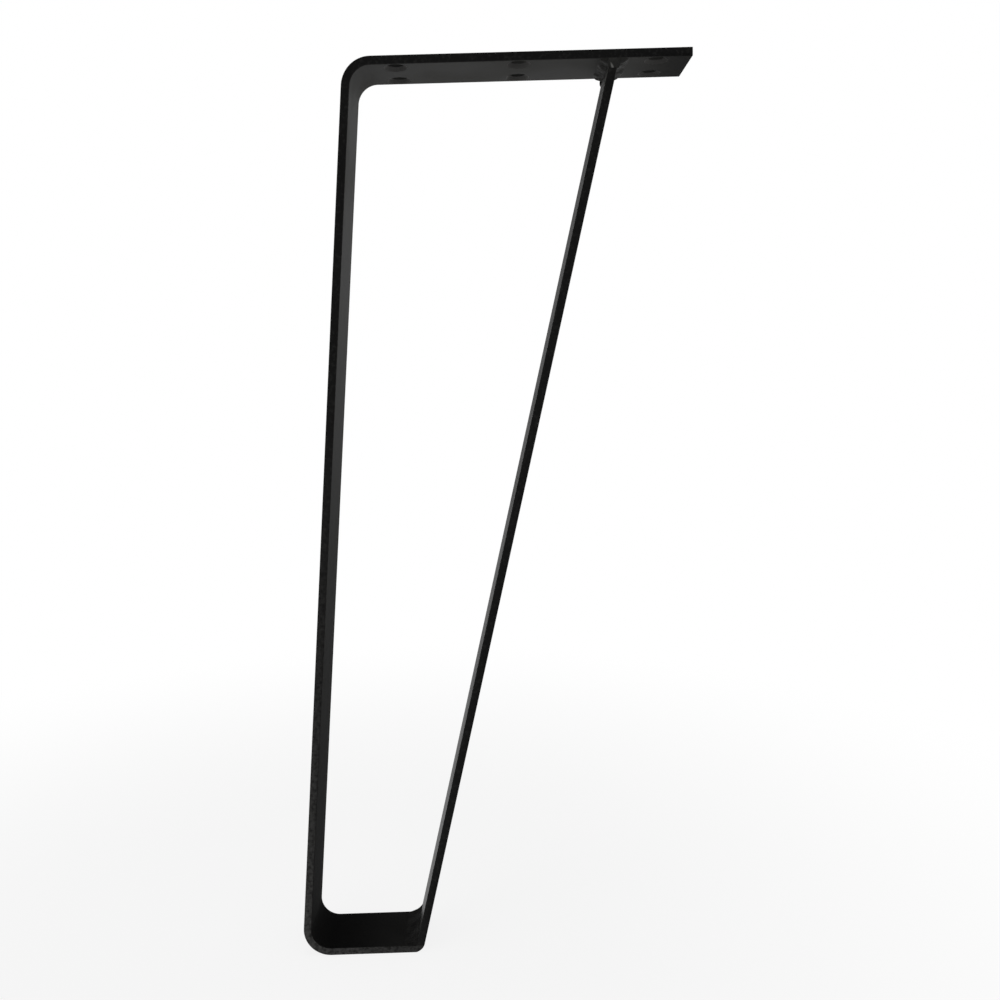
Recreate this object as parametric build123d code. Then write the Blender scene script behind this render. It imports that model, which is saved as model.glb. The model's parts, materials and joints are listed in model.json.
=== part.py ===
from build123d import *
import os
from math import hypot, radians, tan

# A table leg of flat steel bar. One bar is bent into arm, upright and foot, and a straight brace is welded
# between the foot's end and the arm. All sizes are in millimetres.
# The origin is on the arm's upper face, at the centre of the four outer screws. X runs along the arm to its
# free end, Y across the bar, and Z up, out of the face that goes under the table top.

# Bar stock
bar_width = 50.8
bar_thickness = 6.35
bar_edge_radius = 0.8

# The leg's outline, measured between the corners where the flat outer faces would meet
leg_height = 711.2
arm_length = 257.0
upright_lean = 70.6
foot_length = 100.8
brace_reach = 203.0

# Bends, inside radius, and the welded corner of foot and brace, ground round on the outside
bend_radius = 15.9
ground_corner_radius = 9.5

# Countersunk screw holes, in three pairs across the arm
screw_bore = 12.0
countersink_width = 17.5
countersink_angle = 90.0
screw_row_spacing = 31.0
bend_to_first_screws = 38.1
bend_to_middle_screws = 129.5
end_to_last_screws = 25.4

# Weld beads: the top bead's face bulges a little, and the foot's is hollow
top_weld_leg_on_arm = 7.5
top_weld_leg_on_brace = 3.4
top_weld_bulge = 0.6
foot_weld_leg_on_foot = 10.0
foot_weld_leg_on_brace = 7.4
foot_weld_hollow = 1.0

# Ripples along the beads, with the crest's place as a share of the pitch
ripple_pitch = 3.6
ripple_height = 0.3
ripple_crest = 0.7

# Mounds where the top bead runs round the brace's edges, with their middle a little below the arm
side_bead_width = 8.0
side_bead_height = 1.2
side_bead_overrun = 1.5
side_bead_drop = 3.4

# Room round a bead's corner in which it is trimmed
weld_clip_room = 1.5

# Places that follow from the sizes above
half_width = bar_width / 2
arm_underside = -bar_thickness
foot_top = bar_thickness - leg_height
bend_x = -(bend_to_first_screws + arm_length - end_to_last_screws) / 2
arm_end_x = bend_x + arm_length
heel_x = bend_x - upright_lean
toe_x = heel_x + foot_length
brace_top_x = bend_x + brace_reach
upright_slope = upright_lean / leg_height
brace_slope = (brace_top_x - toe_x) / (leg_height - bar_thickness)
outer_bend_radius = bend_radius + bar_thickness


def upright_inner_x(z):
    """Place of the upright's inner face at a height."""
    return bend_x + upright_slope * z + bar_thickness * hypot(1, upright_slope)


def brace_outer_x(z):
    """Place of the brace's outer face at a height."""
    return brace_top_x + brace_slope * (z - arm_underside)


def brace_inner_x(z):
    """Place of the brace's inner face at a height."""
    return brace_outer_x(z) - bar_thickness * hypot(1, brace_slope)


def rounded(face, corner, radius):
    """The face with the corner nearest to a point rounded."""
    return fillet(face.vertices().sort_by_distance(corner)[0], radius)


def across_bar(profile, reach):
    """A profile drawn in X and Z, carried out to the same reach on both sides."""
    return extrude(Plane.XZ * profile, amount=reach, both=True)


def leg_profile():
    """Side view of both bars together: the outline, less the window between upright and brace."""
    top_corner = (bend_x, 0)
    heel = (heel_x, -leg_height)
    toe = (toe_x, -leg_height)
    brace_tip = (brace_top_x, arm_underside)
    end_top = (arm_end_x, 0)
    end_low = (arm_end_x, arm_underside)
    outline = Polygon(end_top, top_corner, heel, toe, brace_tip, end_low, align=None)
    outline = rounded(outline, top_corner, outer_bend_radius)
    outline = rounded(outline, heel, outer_bend_radius)
    outline = rounded(outline, toe, ground_corner_radius)

    inner_top = (upright_inner_x(arm_underside), arm_underside)
    inner_heel = (upright_inner_x(foot_top), foot_top)
    brace_foot = (brace_inner_x(foot_top), foot_top)
    brace_head = (brace_inner_x(arm_underside), arm_underside)
    window = Polygon(inner_top, inner_heel, brace_foot, brace_head, align=None)
    window = rounded(window, inner_top, bend_radius)
    window = rounded(window, inner_heel, bend_radius)
    return outline - window


def welded_bars():
    """Both bars as one body, with the mill's round along every edge but the sawn end of the arm."""
    bars = across_bar(leg_profile(), half_width)
    side_edges = bars.faces().filter_by(Axis.Y).edges()
    sawn_edges = side_edges.group_by(Axis.X)[-1]
    return fillet(side_edges - sawn_edges, bar_edge_radius)


def brace_zone():
    """The space between foot and arm that the brace fills, with room on both sides of it."""
    room = bar_thickness
    zone = Polygon(
        (brace_inner_x(foot_top) - room, foot_top),
        (brace_outer_x(foot_top) + room, foot_top),
        (brace_outer_x(arm_underside) + room, arm_underside),
        (brace_inner_x(arm_underside) - room, arm_underside),
        align=None,
    )
    return across_bar(zone, bar_width)


def screw_hole(x, y):
    """Through bore with a cone for the screw's head, open on the arm's underside."""
    bore_radius = screw_bore / 2
    head_radius = countersink_width / 2
    cone_depth = (head_radius - bore_radius) / tan(radians(countersink_angle / 2))
    bore = Pos(x, y, arm_underside / 2) * Cylinder(bore_radius, 2 * bar_thickness)
    cone = Pos(x, y, arm_underside + cone_depth / 2) * Cone(head_radius, bore_radius, cone_depth)
    return bore + cone


def screw_holes():
    """Three pairs of holes along the arm."""
    first = bend_x + bend_to_first_screws
    middle = bend_x + bend_to_middle_screws
    last = arm_end_x - end_to_last_screws
    rows = [-screw_row_spacing / 2, screw_row_spacing / 2]
    return [screw_hole(x, y) for x in (first, middle, last) for y in rows]


def rippled_bar(centre, radius):
    """A round bar across the leg, in overlapping scales as a weld bead sets."""
    count = round(bar_width / ripple_pitch)
    pitch = bar_width / count
    valley = radius - ripple_height
    section = [(-half_width, 0), (-half_width, valley)]
    for index in range(count):
        start = index * pitch - half_width
        section += [(start + pitch * ripple_crest, radius), (start + pitch, valley)]
    section.append((half_width, 0))
    along_y = Plane(origin=(centre.X, 0, centre.Y), x_dir=(0, 1, 0), z_dir=(1, 0, 0))
    return revolve(along_y * Polygon(*section, align=None), Axis((centre.X, 0, centre.Y), (0, 1, 0)))


def bead_round(level_leg, slant_leg, depth):
    """Radius of a face whose middle lies a depth off the bead's chord, and the way out of the corner."""
    chord = slant_leg - level_leg
    radius = (chord.length**2 / 4 + depth**2) / (2 * depth)
    outward = Vector(chord.Y, -chord.X).normalized()
    if outward.dot(level_leg) < 0:
        outward = -outward
    return radius, outward


def bead_room(root, level_leg, slant_leg, outward):
    """The space in which a bead is trimmed: a little into both bars, past its toes and over its face."""
    along_level = level_leg.normalized() * weld_clip_room
    along_slant = slant_leg.normalized() * weld_clip_room
    level_far = root + level_leg + along_level
    slant_far = root + slant_leg + along_slant
    into_bars = -along_level - along_slant
    over_face = outward * weld_clip_room
    outer_side = [level_far + over_face, slant_far + over_face]
    inner_side = [slant_far + into_bars, root + into_bars, level_far + into_bars]
    return across_bar(Polygon(*outer_side, *inner_side, align=None), half_width)


def bulging_bead(bars, root, level_leg, slant_leg, bulge):
    """A bead in the corner at root, given its legs along a level face and along the brace."""
    radius, outward = bead_round(level_leg, slant_leg, bulge)
    middle = root + (level_leg + slant_leg) / 2
    bead = rippled_bar(middle - outward * (radius - bulge), radius)
    return (bead & bead_room(root, level_leg, slant_leg, outward)) - bars


def hollow_bead(bars, root, level_leg, slant_leg, hollow):
    """A bead as above, whose face is hollow."""
    radius, outward = bead_round(level_leg, slant_leg, hollow)
    middle = root + (level_leg + slant_leg) / 2
    air = rippled_bar(middle + outward * (radius - hollow), radius)
    return bead_room(root, level_leg, slant_leg, outward) - air - bars


def side_bead(bars, side):
    """The low mound where the top bead runs round the brace's edge, on the front (-1) or the back (1)."""
    radius = (side_bead_width**2 / 4 + side_bead_height**2) / (2 * side_bead_height)
    ends = radius - side_bead_height
    middle_z = arm_underside - side_bead_drop
    crest = (brace_outer_x(middle_z) - brace_inner_x(middle_z)) / 2
    middle_x = brace_inner_x(middle_z) + crest
    reach = crest + side_bead_overrun
    left_end = [(-reach, 0), (-reach, ends), (-crest, radius)]
    right_end = [(crest, radius), (reach, ends), (reach, 0)]
    section = Polygon(*left_end, *right_end, align=None)
    axis_point = (middle_x, side * (half_width - ends), middle_z)
    along_x = Plane(origin=axis_point, x_dir=(1, 0, 0), z_dir=(0, -1, 0))
    mound = revolve(along_x * section, Axis(axis_point, (1, 0, 0)))

    skin = bar_edge_radius + side_bead_height
    skin_y = side * (half_width - bar_edge_radius + skin / 2)
    return (mound & (Pos(middle_x, skin_y, middle_z) * Box(bar_width, skin, bar_width))) - bars


def top_weld(bars):
    """The bead round the brace's upper end: inside, outside, front and back."""
    along_arm = Vector(top_weld_leg_on_arm, 0)
    down_brace = Vector(-brace_slope, -1).normalized() * top_weld_leg_on_brace
    inner_root = Vector(brace_inner_x(arm_underside), arm_underside)
    outer_root = Vector(brace_top_x, arm_underside)
    weld = bulging_bead(bars, inner_root, -along_arm, down_brace, top_weld_bulge)
    weld += bulging_bead(bars, outer_root, along_arm, down_brace, top_weld_bulge)
    for side in (-1, 1):
        weld += side_bead(bars, side)
    return weld


def foot_weld(bars):
    """The bead in the inside corner of foot and brace, ground flush with the bars' sides."""
    along_foot = Vector(-foot_weld_leg_on_foot, 0)
    up_brace = Vector(brace_slope, 1).normalized() * foot_weld_leg_on_brace
    root = Vector(brace_inner_x(foot_top), foot_top)
    return hollow_bead(bars, root, along_foot, up_brace, foot_weld_hollow)


def leg_pieces():
    """Every piece of the leg, by name."""
    bars = welded_bars()
    zone = brace_zone()
    return {
        "bent_bar": bars - zone - screw_holes(),
        "brace_bar": bars & zone,
        "brace_top_weld": top_weld(bars),
        "brace_foot_weld": foot_weld(bars),
    }


os.makedirs("parts", exist_ok=True)
for name, piece in leg_pieces().items():
    export_step(piece, f"parts/{name}.step")
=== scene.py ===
"""Welded flat-bar table leg in a satin black coat: an add-on that runs as a script, in metres."""

import json
from math import atan2, ceil, copysign, cos, hypot, pi, radians, sin, sqrt, tan
from types import SimpleNamespace

import bmesh
import bpy
from bpy.props import FloatProperty, FloatVectorProperty, IntProperty, PointerProperty
from mathutils import Matrix, Vector, noise


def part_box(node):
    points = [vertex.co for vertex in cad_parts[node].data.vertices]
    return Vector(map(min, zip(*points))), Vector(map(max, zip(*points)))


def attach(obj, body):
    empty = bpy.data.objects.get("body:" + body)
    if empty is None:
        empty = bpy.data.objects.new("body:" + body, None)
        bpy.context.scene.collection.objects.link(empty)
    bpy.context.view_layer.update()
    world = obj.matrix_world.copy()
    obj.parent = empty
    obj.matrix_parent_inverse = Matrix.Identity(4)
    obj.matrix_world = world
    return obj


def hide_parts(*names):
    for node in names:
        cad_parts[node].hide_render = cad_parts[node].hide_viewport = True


bl_info = {
    "name": "Flat Bar Table Leg",
    "version": (1, 0, 0),
    "blender": (4, 5, 0),
    "location": "View3D > Sidebar > Table Leg",
    "description": "Builds a table leg of welded flat bar in a satin black coat, and a white stage for it",
    "category": "Add Mesh",
}

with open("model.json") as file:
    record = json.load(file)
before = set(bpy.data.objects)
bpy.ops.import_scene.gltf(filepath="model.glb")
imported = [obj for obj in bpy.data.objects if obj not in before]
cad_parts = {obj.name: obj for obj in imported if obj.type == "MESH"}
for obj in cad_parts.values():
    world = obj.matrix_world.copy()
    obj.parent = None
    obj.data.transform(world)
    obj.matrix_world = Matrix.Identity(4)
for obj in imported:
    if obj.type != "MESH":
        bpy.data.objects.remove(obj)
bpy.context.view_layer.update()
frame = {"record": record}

# Places that the packed model gives
BENT_LOW, BENT_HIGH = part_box("bent_bar")
BRACE_LOW, BRACE_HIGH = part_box("brace_bar")
MOUNTS = {mount["name"]: mount for mount in frame["record"]["mounts"]}
HALF_WIDTH = BENT_HIGH.y
THICKNESS = -BRACE_HIGH.z
FLOOR_Z = BENT_LOW.z
FOOT_TOP = BRACE_LOW.z
ARM_UNDERSIDE = BRACE_HIGH.z
MILLIMETRE = 0.001

# How finely forms are divided, and how sharp a corner stays sharp
BEND_STEPS = 28
EDGE_STEPS = 6
SIDE_STEPS = 6
END_STEPS = 4
HOLE_STEPS = 64
LIP_STEPS = 5
BEAD_STEPS_ALONG = 200
BEAD_STEPS_ACROSS = 22
BEAD_STEPS_AROUND = 66
FLOOR_STEPS = 96
STRAIGHT_STEP = 0.02
SHARP_ANGLE = radians(40)

# How the coat is shaded: how dull the inner faces get, and how dark with painted shade, at the floor and at
# the arm's end, where along the foot all painted shade and light gets less and how much of it is left
# there, how steeply the painted light from the floor grows downwards, and how much of it is left between
# blotches
DULL_AT_FLOOR = 1.08
DULL_AT_ARM_END = 0.7
TOE_FROM = BENT_LOW.x + 0.03
TOE_TO = BENT_LOW.x + 0.095
SHADE_AND_LIGHT_AT_TOE = 0.6
FLOOR_LIGHT_GROWTH = 1.5
LEAST_FLOOR_LIGHT = 0.2

# The fine grit on the orange peel: how many times finer it is, and its share of the height
GRIT_FINENESS = 4.5
GRIT_SHARE = 0.3

# Where each mask fades in or out, as a part of the range of the noise or value that it is made from
PATCH_FADE = (0.35, 0.7)
BREAK_FADE = (0.5, 0.75)
BLOTCH_FADE = (0.3, 0.65)
SPECK_FADE = (0.48, 0.72)
SIDE_FADE = (0.4, 0.95)
SPOT_FADE = (0.3, 1.0)

# The bare spot on the front of the top weld, set off from the brace's inner edge under the arm
BARE_SIDEWAYS = 0.0012
BARE_DROP = 0.006
BARE_REACH = (0.0011, 0.004, 0.004)
BARE_SLANT = radians(-26)

# How beads are sunk: the face past its toes, the bead's ends, its root and the mounds' rims, all as shares
FACE_UNDER = 1.1
END_FULLNESS = 0.08
ROOT_SINK = 0.2
MOUND_SINK = 0.3

# A factor and a shift that turn a noise from nought to one into the ripples' wander, the lumps' rise and
# each ripple's depth, and how far the ripples lean
WANDER = (3.0, -1.5)
LUMP_RISE = (4.0, -2.2)
RIPPLE_DEPTH = (0.6, 0.7)
RIPPLE_LEAN = 0.6

# The stage: the floor is white beyond a distance and keeps its shade nearer the leg, and the surroundings
# are white up to the sine of a height above level
FLOOR_RADIUS = 12
SHADE_WITHIN = 0.2
WHITE_BEYOND = 0.9
WHITE_NEAR_LEG = 0.86
WHITE_UP_TO = 0.37
DIM_FROM = 0.51
LAMP_SIZE = 1.2
LAMP_PLACE = (-0.05, -0.3, 2.0)


def length(name, description, default):
    """A size property in metres."""
    kind = {"unit": "LENGTH", "subtype": "DISTANCE"}
    return FloatProperty(name=name, description=description, default=default, **kind)


def share(name, description, default):
    """A share property, from nought to one."""
    kind = {"min": 0, "max": 1, "subtype": "FACTOR"}
    return FloatProperty(name=name, description=description, default=default, **kind)


def angle(name, description, default):
    """An angle property, given in degrees here."""
    return FloatProperty(name=name, description=description, default=radians(default), subtype="ANGLE")


def colour(name, description, default):
    """A colour property, in linear light."""
    kind = {"min": 0, "max": 1, "subtype": "COLOR"}
    return FloatVectorProperty(name=name, description=description, default=default, **kind)


class LegSizes(bpy.types.PropertyGroup):
    """Sizes of the bars and holes that the packed model's boxes don't give."""

    arm_length: length("Arm length", "From the bend's outer corner to the sawn end", 0.257)
    upright_lean: length("Upright lean", "How far the heel stands out from the bend", 0.0706)
    bend_radius: length("Bend radius", "Inside radius of both bends", 0.0159)
    ground_radius: length("Ground corner", "Round of the welded corner under the brace", 0.0095)
    edge_radius: length("Edge radius", "Mill round along the bars' edges", 0.0008)
    sawn_radius: length("Sawn edge", "Round that the coat gives the sawn end", 0.0004)
    countersink_width: length("Countersink", "Width of each hole at the arm's underside", 0.0175)
    lip_radius: length("Hole lip", "Round that the coat gives the rims of the holes", 0.0005)


class WeldSizes(bpy.types.PropertyGroup):
    """Sizes of the weld beads at both ends of the brace."""

    arm_leg: length("Leg on arm", "Reach of the top bead on the arm", 0.0075)
    head_leg: length("Leg on brace head", "Reach of the top bead on the brace", 0.0034)
    top_bulge: length("Top bulge", "Bulge of the top bead's face", 0.0006)
    foot_leg: length("Leg on foot", "Reach of the foot bead on the foot", 0.010)
    heel_leg: length("Leg on brace foot", "Reach of the foot bead on the brace", 0.0074)
    foot_hollow: length("Foot hollow", "Hollow of the foot bead's face", 0.001)
    side_width: length("Side bead width", "Height of the mound on the brace's edges, under the arm", 0.008)
    side_height: length("Side bead rise", "How far that mound stands out", 0.001)
    side_overrun: length("Side bead overrun", "How far the mound runs past the brace", 0.0015)
    side_drop: length("Side bead drop", "From the arm's underside to the mound's middle", 0.0034)
    ripple_pitch: length("Ripple pitch", "From one ripple to the next", 0.0036)
    ripple_height: length("Ripple height", "Depth of the valleys between ripples", 0.00015)
    lump_size: length("Lump size", "Size of the larger lumps in the beads", 0.012)
    lump_height: length("Lump height", "How far the lumps rise and fall", 0.0009)
    toe_wander: share("Toe wander", "How far a bead's toes stray, as a share of its reach", 0.3)
    seed: IntProperty(name="Seed", description="Picks the ripples' chance heights", default=21)


class CoatLook(bpy.types.PropertyGroup):
    """Colours and texture of the coat, and the colours of its painted shade and light."""

    coat: colour("Coat", "Colour of the black coat", (0.0155, 0.0155, 0.0148))
    dusty: colour("Dusty coat", "Colour where the coat is thin or dusty", (0.034, 0.0338, 0.031))
    grain: colour("Grain", "Colour of the specks in the bars' rolled sides", (0.0125, 0.0124, 0.0118))
    rubbed: colour("Rubbed edge", "Colour of edges rubbed by handling", (0.032, 0.0315, 0.03))
    # Painted light: the countersinks take this lighter colour in place of the light from the floor on their
    # cones
    seat: colour("Screw seat", "Colour of the countersinks, where the coat is thin", (0.08, 0.079, 0.076))
    # Painted light: the front and back faces take this lighter colour near the floor, in place of the light
    # from the floor
    floor_lit: colour("Floorlit side", "Colour of the sides near the floor", (0.072, 0.0715, 0.0695))
    bare: colour("Bare metal", "Colour of the bare spot on the top weld", (0.16, 0.16, 0.155))
    # Painted shade: this near-black darkens the inner faces near the floor and at the arm's end, and the
    # front and back faces between their specks; on the welds it also gives the random dark mottle
    shade_and_mottle: colour("Shaded coat", "Colour of the dull coat, and between the specks", (0.0026, 0.0026, 0.0025))
    dull_roughness: share("Dull roughness", "Roughness of the dullest coat", 1.0)
    brace_roughness: share("Brace roughness", "Roughness that the brace's coat nears lower down", 0.3)
    # Under dull top and past dull from, the inner faces are dull and also take painted shade
    dull_top: length("Dull top", "Height above the floor up to which the inner faces are dull", 0.62)
    # Painted light from the floor on the sides reaches up to this height
    floor_light_top: length("Light_Reach top", "Height above the floor up to which the sides are scuffed", 0.5)
    dull_from: length("Dull from", "Where the coat starts to dull towards the arm's end", 0.06)
    specular: share("Specular", "How strongly the coat reflects when seen straight on", 0.1)
    roughness: share("Roughness", "Roughness of the smoothest coat", 0.6)
    roughness_spread: share("Roughness spread", "How much rougher the coat is in patches", 0.1)
    peel_size: length("Peel size", "Size of the coat's orange peel", 0.0021)
    peel_depth: length("Peel depth", "Depth of the orange peel", 0.00003)


class StageLook(bpy.types.PropertyGroup):
    """Floor, surroundings, lamp and camera."""

    floor: colour("Floor", "Colour of the floor", (0.86, 0.86, 0.86))
    ceiling: share("Ceiling", "Level of the surroundings above the white band", 0.12)
    lamp_power: FloatProperty(
        name="Lamp power",
        description="Power of the overhead lamp",
        default=15,
        unit="POWER",
    )
    camera_place: FloatVectorProperty(
        name="Camera place",
        description="Where the camera stands",
        default=(-0.03369, -0.74997, -0.22836),
        subtype="TRANSLATION",
        unit="LENGTH",
    )
    camera_pitch: angle("Camera pitch", "Tilt of the line of sight above level", -8.058)
    camera_yaw: angle("Camera yaw", "Turn of the line of sight to the left", -0.3728)
    camera_roll: angle("Camera roll", "Turn about the line of sight", -1.7016)
    lens: FloatProperty(
        name="Lens",
        description="Focal length of the camera",
        default=33.745,
        unit="CAMERA",
    )


# Node helpers


def wire(tree, kind, inputs=None, **settings):
    """Adds a node. Each input is a socket to link, a list of them, or a value to set."""
    node = tree.nodes.new(kind)
    for name, value in settings.items():
        setattr(node, name, value)
    for name, value in (inputs or {}).items():
        for single in value if isinstance(value, list) else [value]:
            if isinstance(single, bpy.types.NodeSocket):
                tree.links.new(single, node.inputs[name])
            else:
                node.inputs[name].default_value = single
    return node


def maths(tree, operation, *values):
    """The output of one Math node."""
    return wire(tree, "ShaderNodeMath", dict(enumerate(values)), operation=operation).outputs[0]


def fade(tree, value, low, high, to_low=0.0, to_high=1.0):
    """The output of a smooth Map Range node, held at its ends."""
    inputs = {"Value": value, "From Min": low, "From Max": high, "To Min": to_low, "To Max": to_high}
    return wire(tree, "ShaderNodeMapRange", inputs, interpolation_type="SMOOTHSTEP").outputs["Result"]


def mixed(tree, factor, first, second):
    """The output of a colour Mix node, whose colour sockets come after its number and vector ones."""
    node = wire(tree, "ShaderNodeMix", {"Factor": factor}, data_type="RGBA")
    colours = [socket for socket in node.inputs if socket.type == "RGBA"]
    for socket, value in zip(colours, (first, second)):
        if isinstance(value, bpy.types.NodeSocket):
            tree.links.new(value, socket)
        else:
            socket.default_value = (*value, 1)
    return next(socket for socket in node.outputs if socket.type == "RGBA")


def new_group(name, kind, inputs, outputs):
    """A node group with the named sockets, and its two end nodes."""
    tree = bpy.data.node_groups.new(name, kind)
    for label, socket_type, default in inputs:
        socket = tree.interface.new_socket(label, in_out="INPUT", socket_type=socket_type)
        if default is not None:
            socket.default_value = default
    for label, socket_type in outputs:
        tree.interface.new_socket(label, in_out="OUTPUT", socket_type=socket_type)
    return tree, tree.nodes.new("NodeGroupInput"), tree.nodes.new("NodeGroupOutput")


def shared_group(name, make):
    """The node group of that name, built once."""
    return bpy.data.node_groups.get(name) or make()


def placed_group(tree, name, make, values):
    """The outputs of a shared group that is placed in a material with its own values."""
    return wire(tree, "ShaderNodeGroup", values, node_tree=shared_group(name, make)).outputs


def geometry_group(name, inputs):
    """A node group that changes a mesh and gives it a coat, and its two end nodes."""
    geometry = ("Geometry", "NodeSocketGeometry")
    inputs = [(*geometry, None), *inputs, ("Coat", "NodeSocketMaterial", None)]
    return new_group(name, "GeometryNodeTree", inputs, [geometry])


def coated_end(tree, ins, outs, mesh):
    """Ends a geometry group: the mesh goes out as plain geometry in the coat that came in."""
    plain = wire(tree, "GeometryNodeRealizeInstances", {"Geometry": mesh})
    inputs = {"Geometry": plain.outputs["Geometry"], "Material": ins.outputs["Coat"]}
    coated = wire(tree, "GeometryNodeSetMaterial", inputs)
    tree.links.new(coated.outputs["Geometry"], outs.inputs["Geometry"])


def stored(tree, name):
    """The output that reads the value stored on each point under a name."""
    node = wire(tree, "GeometryNodeInputNamedAttribute", {"Name": name}, data_type="FLOAT")
    return node.outputs["Attribute"]


def noise_of(tree, place, size, detail, roughness=0.5):
    """The output of a Noise Texture whose features have about that size."""
    scale = maths(tree, "DIVIDE", 1.0, size)
    inputs = {"Vector": place, "Scale": scale, "Detail": detail, "Roughness": roughness}
    return wire(tree, "ShaderNodeTexNoise", inputs).outputs["Fac"]


# The coat


def coat_texture_group():
    """Orange peel and slow patches of the coat, as a height and a mask."""
    inputs = [("Peel Size", "NodeSocketFloat", 0.002), ("Patch Size", "NodeSocketFloat", 0.06)]
    outputs = [("Height", "NodeSocketFloat"), ("Patch", "NodeSocketFloat")]
    tree, ins, outs = new_group("coat_texture", "ShaderNodeTree", inputs, outputs)
    place = wire(tree, "ShaderNodeTexCoord").outputs["Object"]
    grit_size = maths(tree, "DIVIDE", ins.outputs["Peel Size"], GRIT_FINENESS)
    peel = noise_of(tree, place, ins.outputs["Peel Size"], detail=1.0)
    grit = noise_of(tree, place, grit_size, detail=2.0)
    patch = noise_of(tree, place, ins.outputs["Patch Size"], detail=5.0)
    height = maths(tree, "ADD", peel, maths(tree, "MULTIPLY", grit, GRIT_SHARE))
    tree.links.new(height, outs.inputs["Height"])
    tree.links.new(fade(tree, patch, *PATCH_FADE), outs.inputs["Patch"])
    return tree


def rubbed_edge_group():
    """Mask of the edges that handling has rubbed, broken up along their length."""
    inputs = [("Break Size", "NodeSocketFloat", 0.01), ("Amount", "NodeSocketFloat", 0.5)]
    tree, ins, outs = new_group("rubbed_edge", "ShaderNodeTree", inputs, [("Mask", "NodeSocketFloat")])
    place = wire(tree, "ShaderNodeTexCoord").outputs["Object"]
    edge = wire(tree, "ShaderNodeAttribute", attribute_name="edge").outputs["Fac"]
    breaks = noise_of(tree, place, ins.outputs["Break Size"], detail=6.0, roughness=0.65)
    broken = fade(tree, breaks, *BREAK_FADE)
    strength = maths(tree, "MULTIPLY", broken, ins.outputs["Amount"])
    tree.links.new(maths(tree, "MULTIPLY", edge, strength), outs.inputs["Mask"])
    return tree


def shade_light_and_grain_group():
    """Masks of painted shade and light: inner faces that get dull and take painted shade towards the floor
    and the arm's end, painted floor light low on the sides, the rolled sides in painted shade, and their
    specks."""
    inputs = [
        ("Wear Top", "NodeSocketFloat", 0.4),
        ("Dull Top", "NodeSocketFloat", 0.6),
        ("Dull From", "NodeSocketFloat", 0.06),
        ("Scuff Size", "NodeSocketFloat", 0.0032),
        ("Grain Size", "NodeSocketFloat", 0.0026),
    ]
    outputs = [(label, "NodeSocketFloat") for label in ("Dull", "Scuff", "Side", "Specks")]
    tree, ins, outs = new_group("wear", "ShaderNodeTree", inputs, outputs)
    place = wire(tree, "ShaderNodeTexCoord").outputs["Object"]
    axes = wire(tree, "ShaderNodeSeparateXYZ", {"Vector": place}).outputs
    height = maths(tree, "SUBTRACT", axes["Z"], FLOOR_Z)
    # Painted shade and light both get less towards the toe
    less_at_toe = fade(tree, axes["X"], TOE_FROM, TOE_TO, 1.0, SHADE_AND_LIGHT_AT_TOE)

    # Painted shade, with dullness: the inner faces darken towards the floor and the arm's end
    rise = maths(tree, "DIVIDE", height, ins.outputs["Dull Top"])
    near_floor = maths(tree, "SUBTRACT", DULL_AT_FLOOR, rise)
    near_floor = maths(tree, "MINIMUM", maths(tree, "MAXIMUM", near_floor, 0.0), 1.0)
    near_floor = maths(tree, "MULTIPLY", near_floor, less_at_toe)
    at_end = fade(tree, axes["X"], ins.outputs["Dull From"], BENT_HIGH.x, 0.0, DULL_AT_ARM_END)
    inner = wire(tree, "ShaderNodeAttribute", attribute_name="inner").outputs["Fac"]
    dull = maths(tree, "MULTIPLY", inner, maths(tree, "MAXIMUM", near_floor, at_end))
    tree.links.new(dull, outs.inputs["Dull"])

    # The front and back faces: they take painted shade, and painted light from the floor lower down, broken
    # into blotches
    side = wire(tree, "ShaderNodeAttribute", attribute_name="side").outputs["Fac"]
    on_side = fade(tree, side, *SIDE_FADE)
    # Painted light from the floor, growing towards the floor and broken into blotches
    by_height = maths(tree, "SUBTRACT", 1.0, maths(tree, "DIVIDE", height, ins.outputs["Wear Top"]))
    by_height = maths(tree, "POWER", maths(tree, "MAXIMUM", by_height, 0.0), FLOOR_LIGHT_GROWTH)
    blotches = noise_of(tree, place, ins.outputs["Scuff Size"], detail=5.0, roughness=0.6)
    floor_lit = fade(tree, blotches, *BLOTCH_FADE, LEAST_FLOOR_LIGHT, 1.0)
    for limit in (on_side, by_height, less_at_toe):
        floor_lit = maths(tree, "MULTIPLY", floor_lit, limit)
    tree.links.new(floor_lit, outs.inputs["Scuff"])
    tree.links.new(on_side, outs.inputs["Side"])
    grain = noise_of(tree, place, ins.outputs["Grain Size"], detail=3.0, roughness=0.6)
    tree.links.new(fade(tree, grain, *SPECK_FADE), outs.inputs["Specks"])
    return tree


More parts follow.
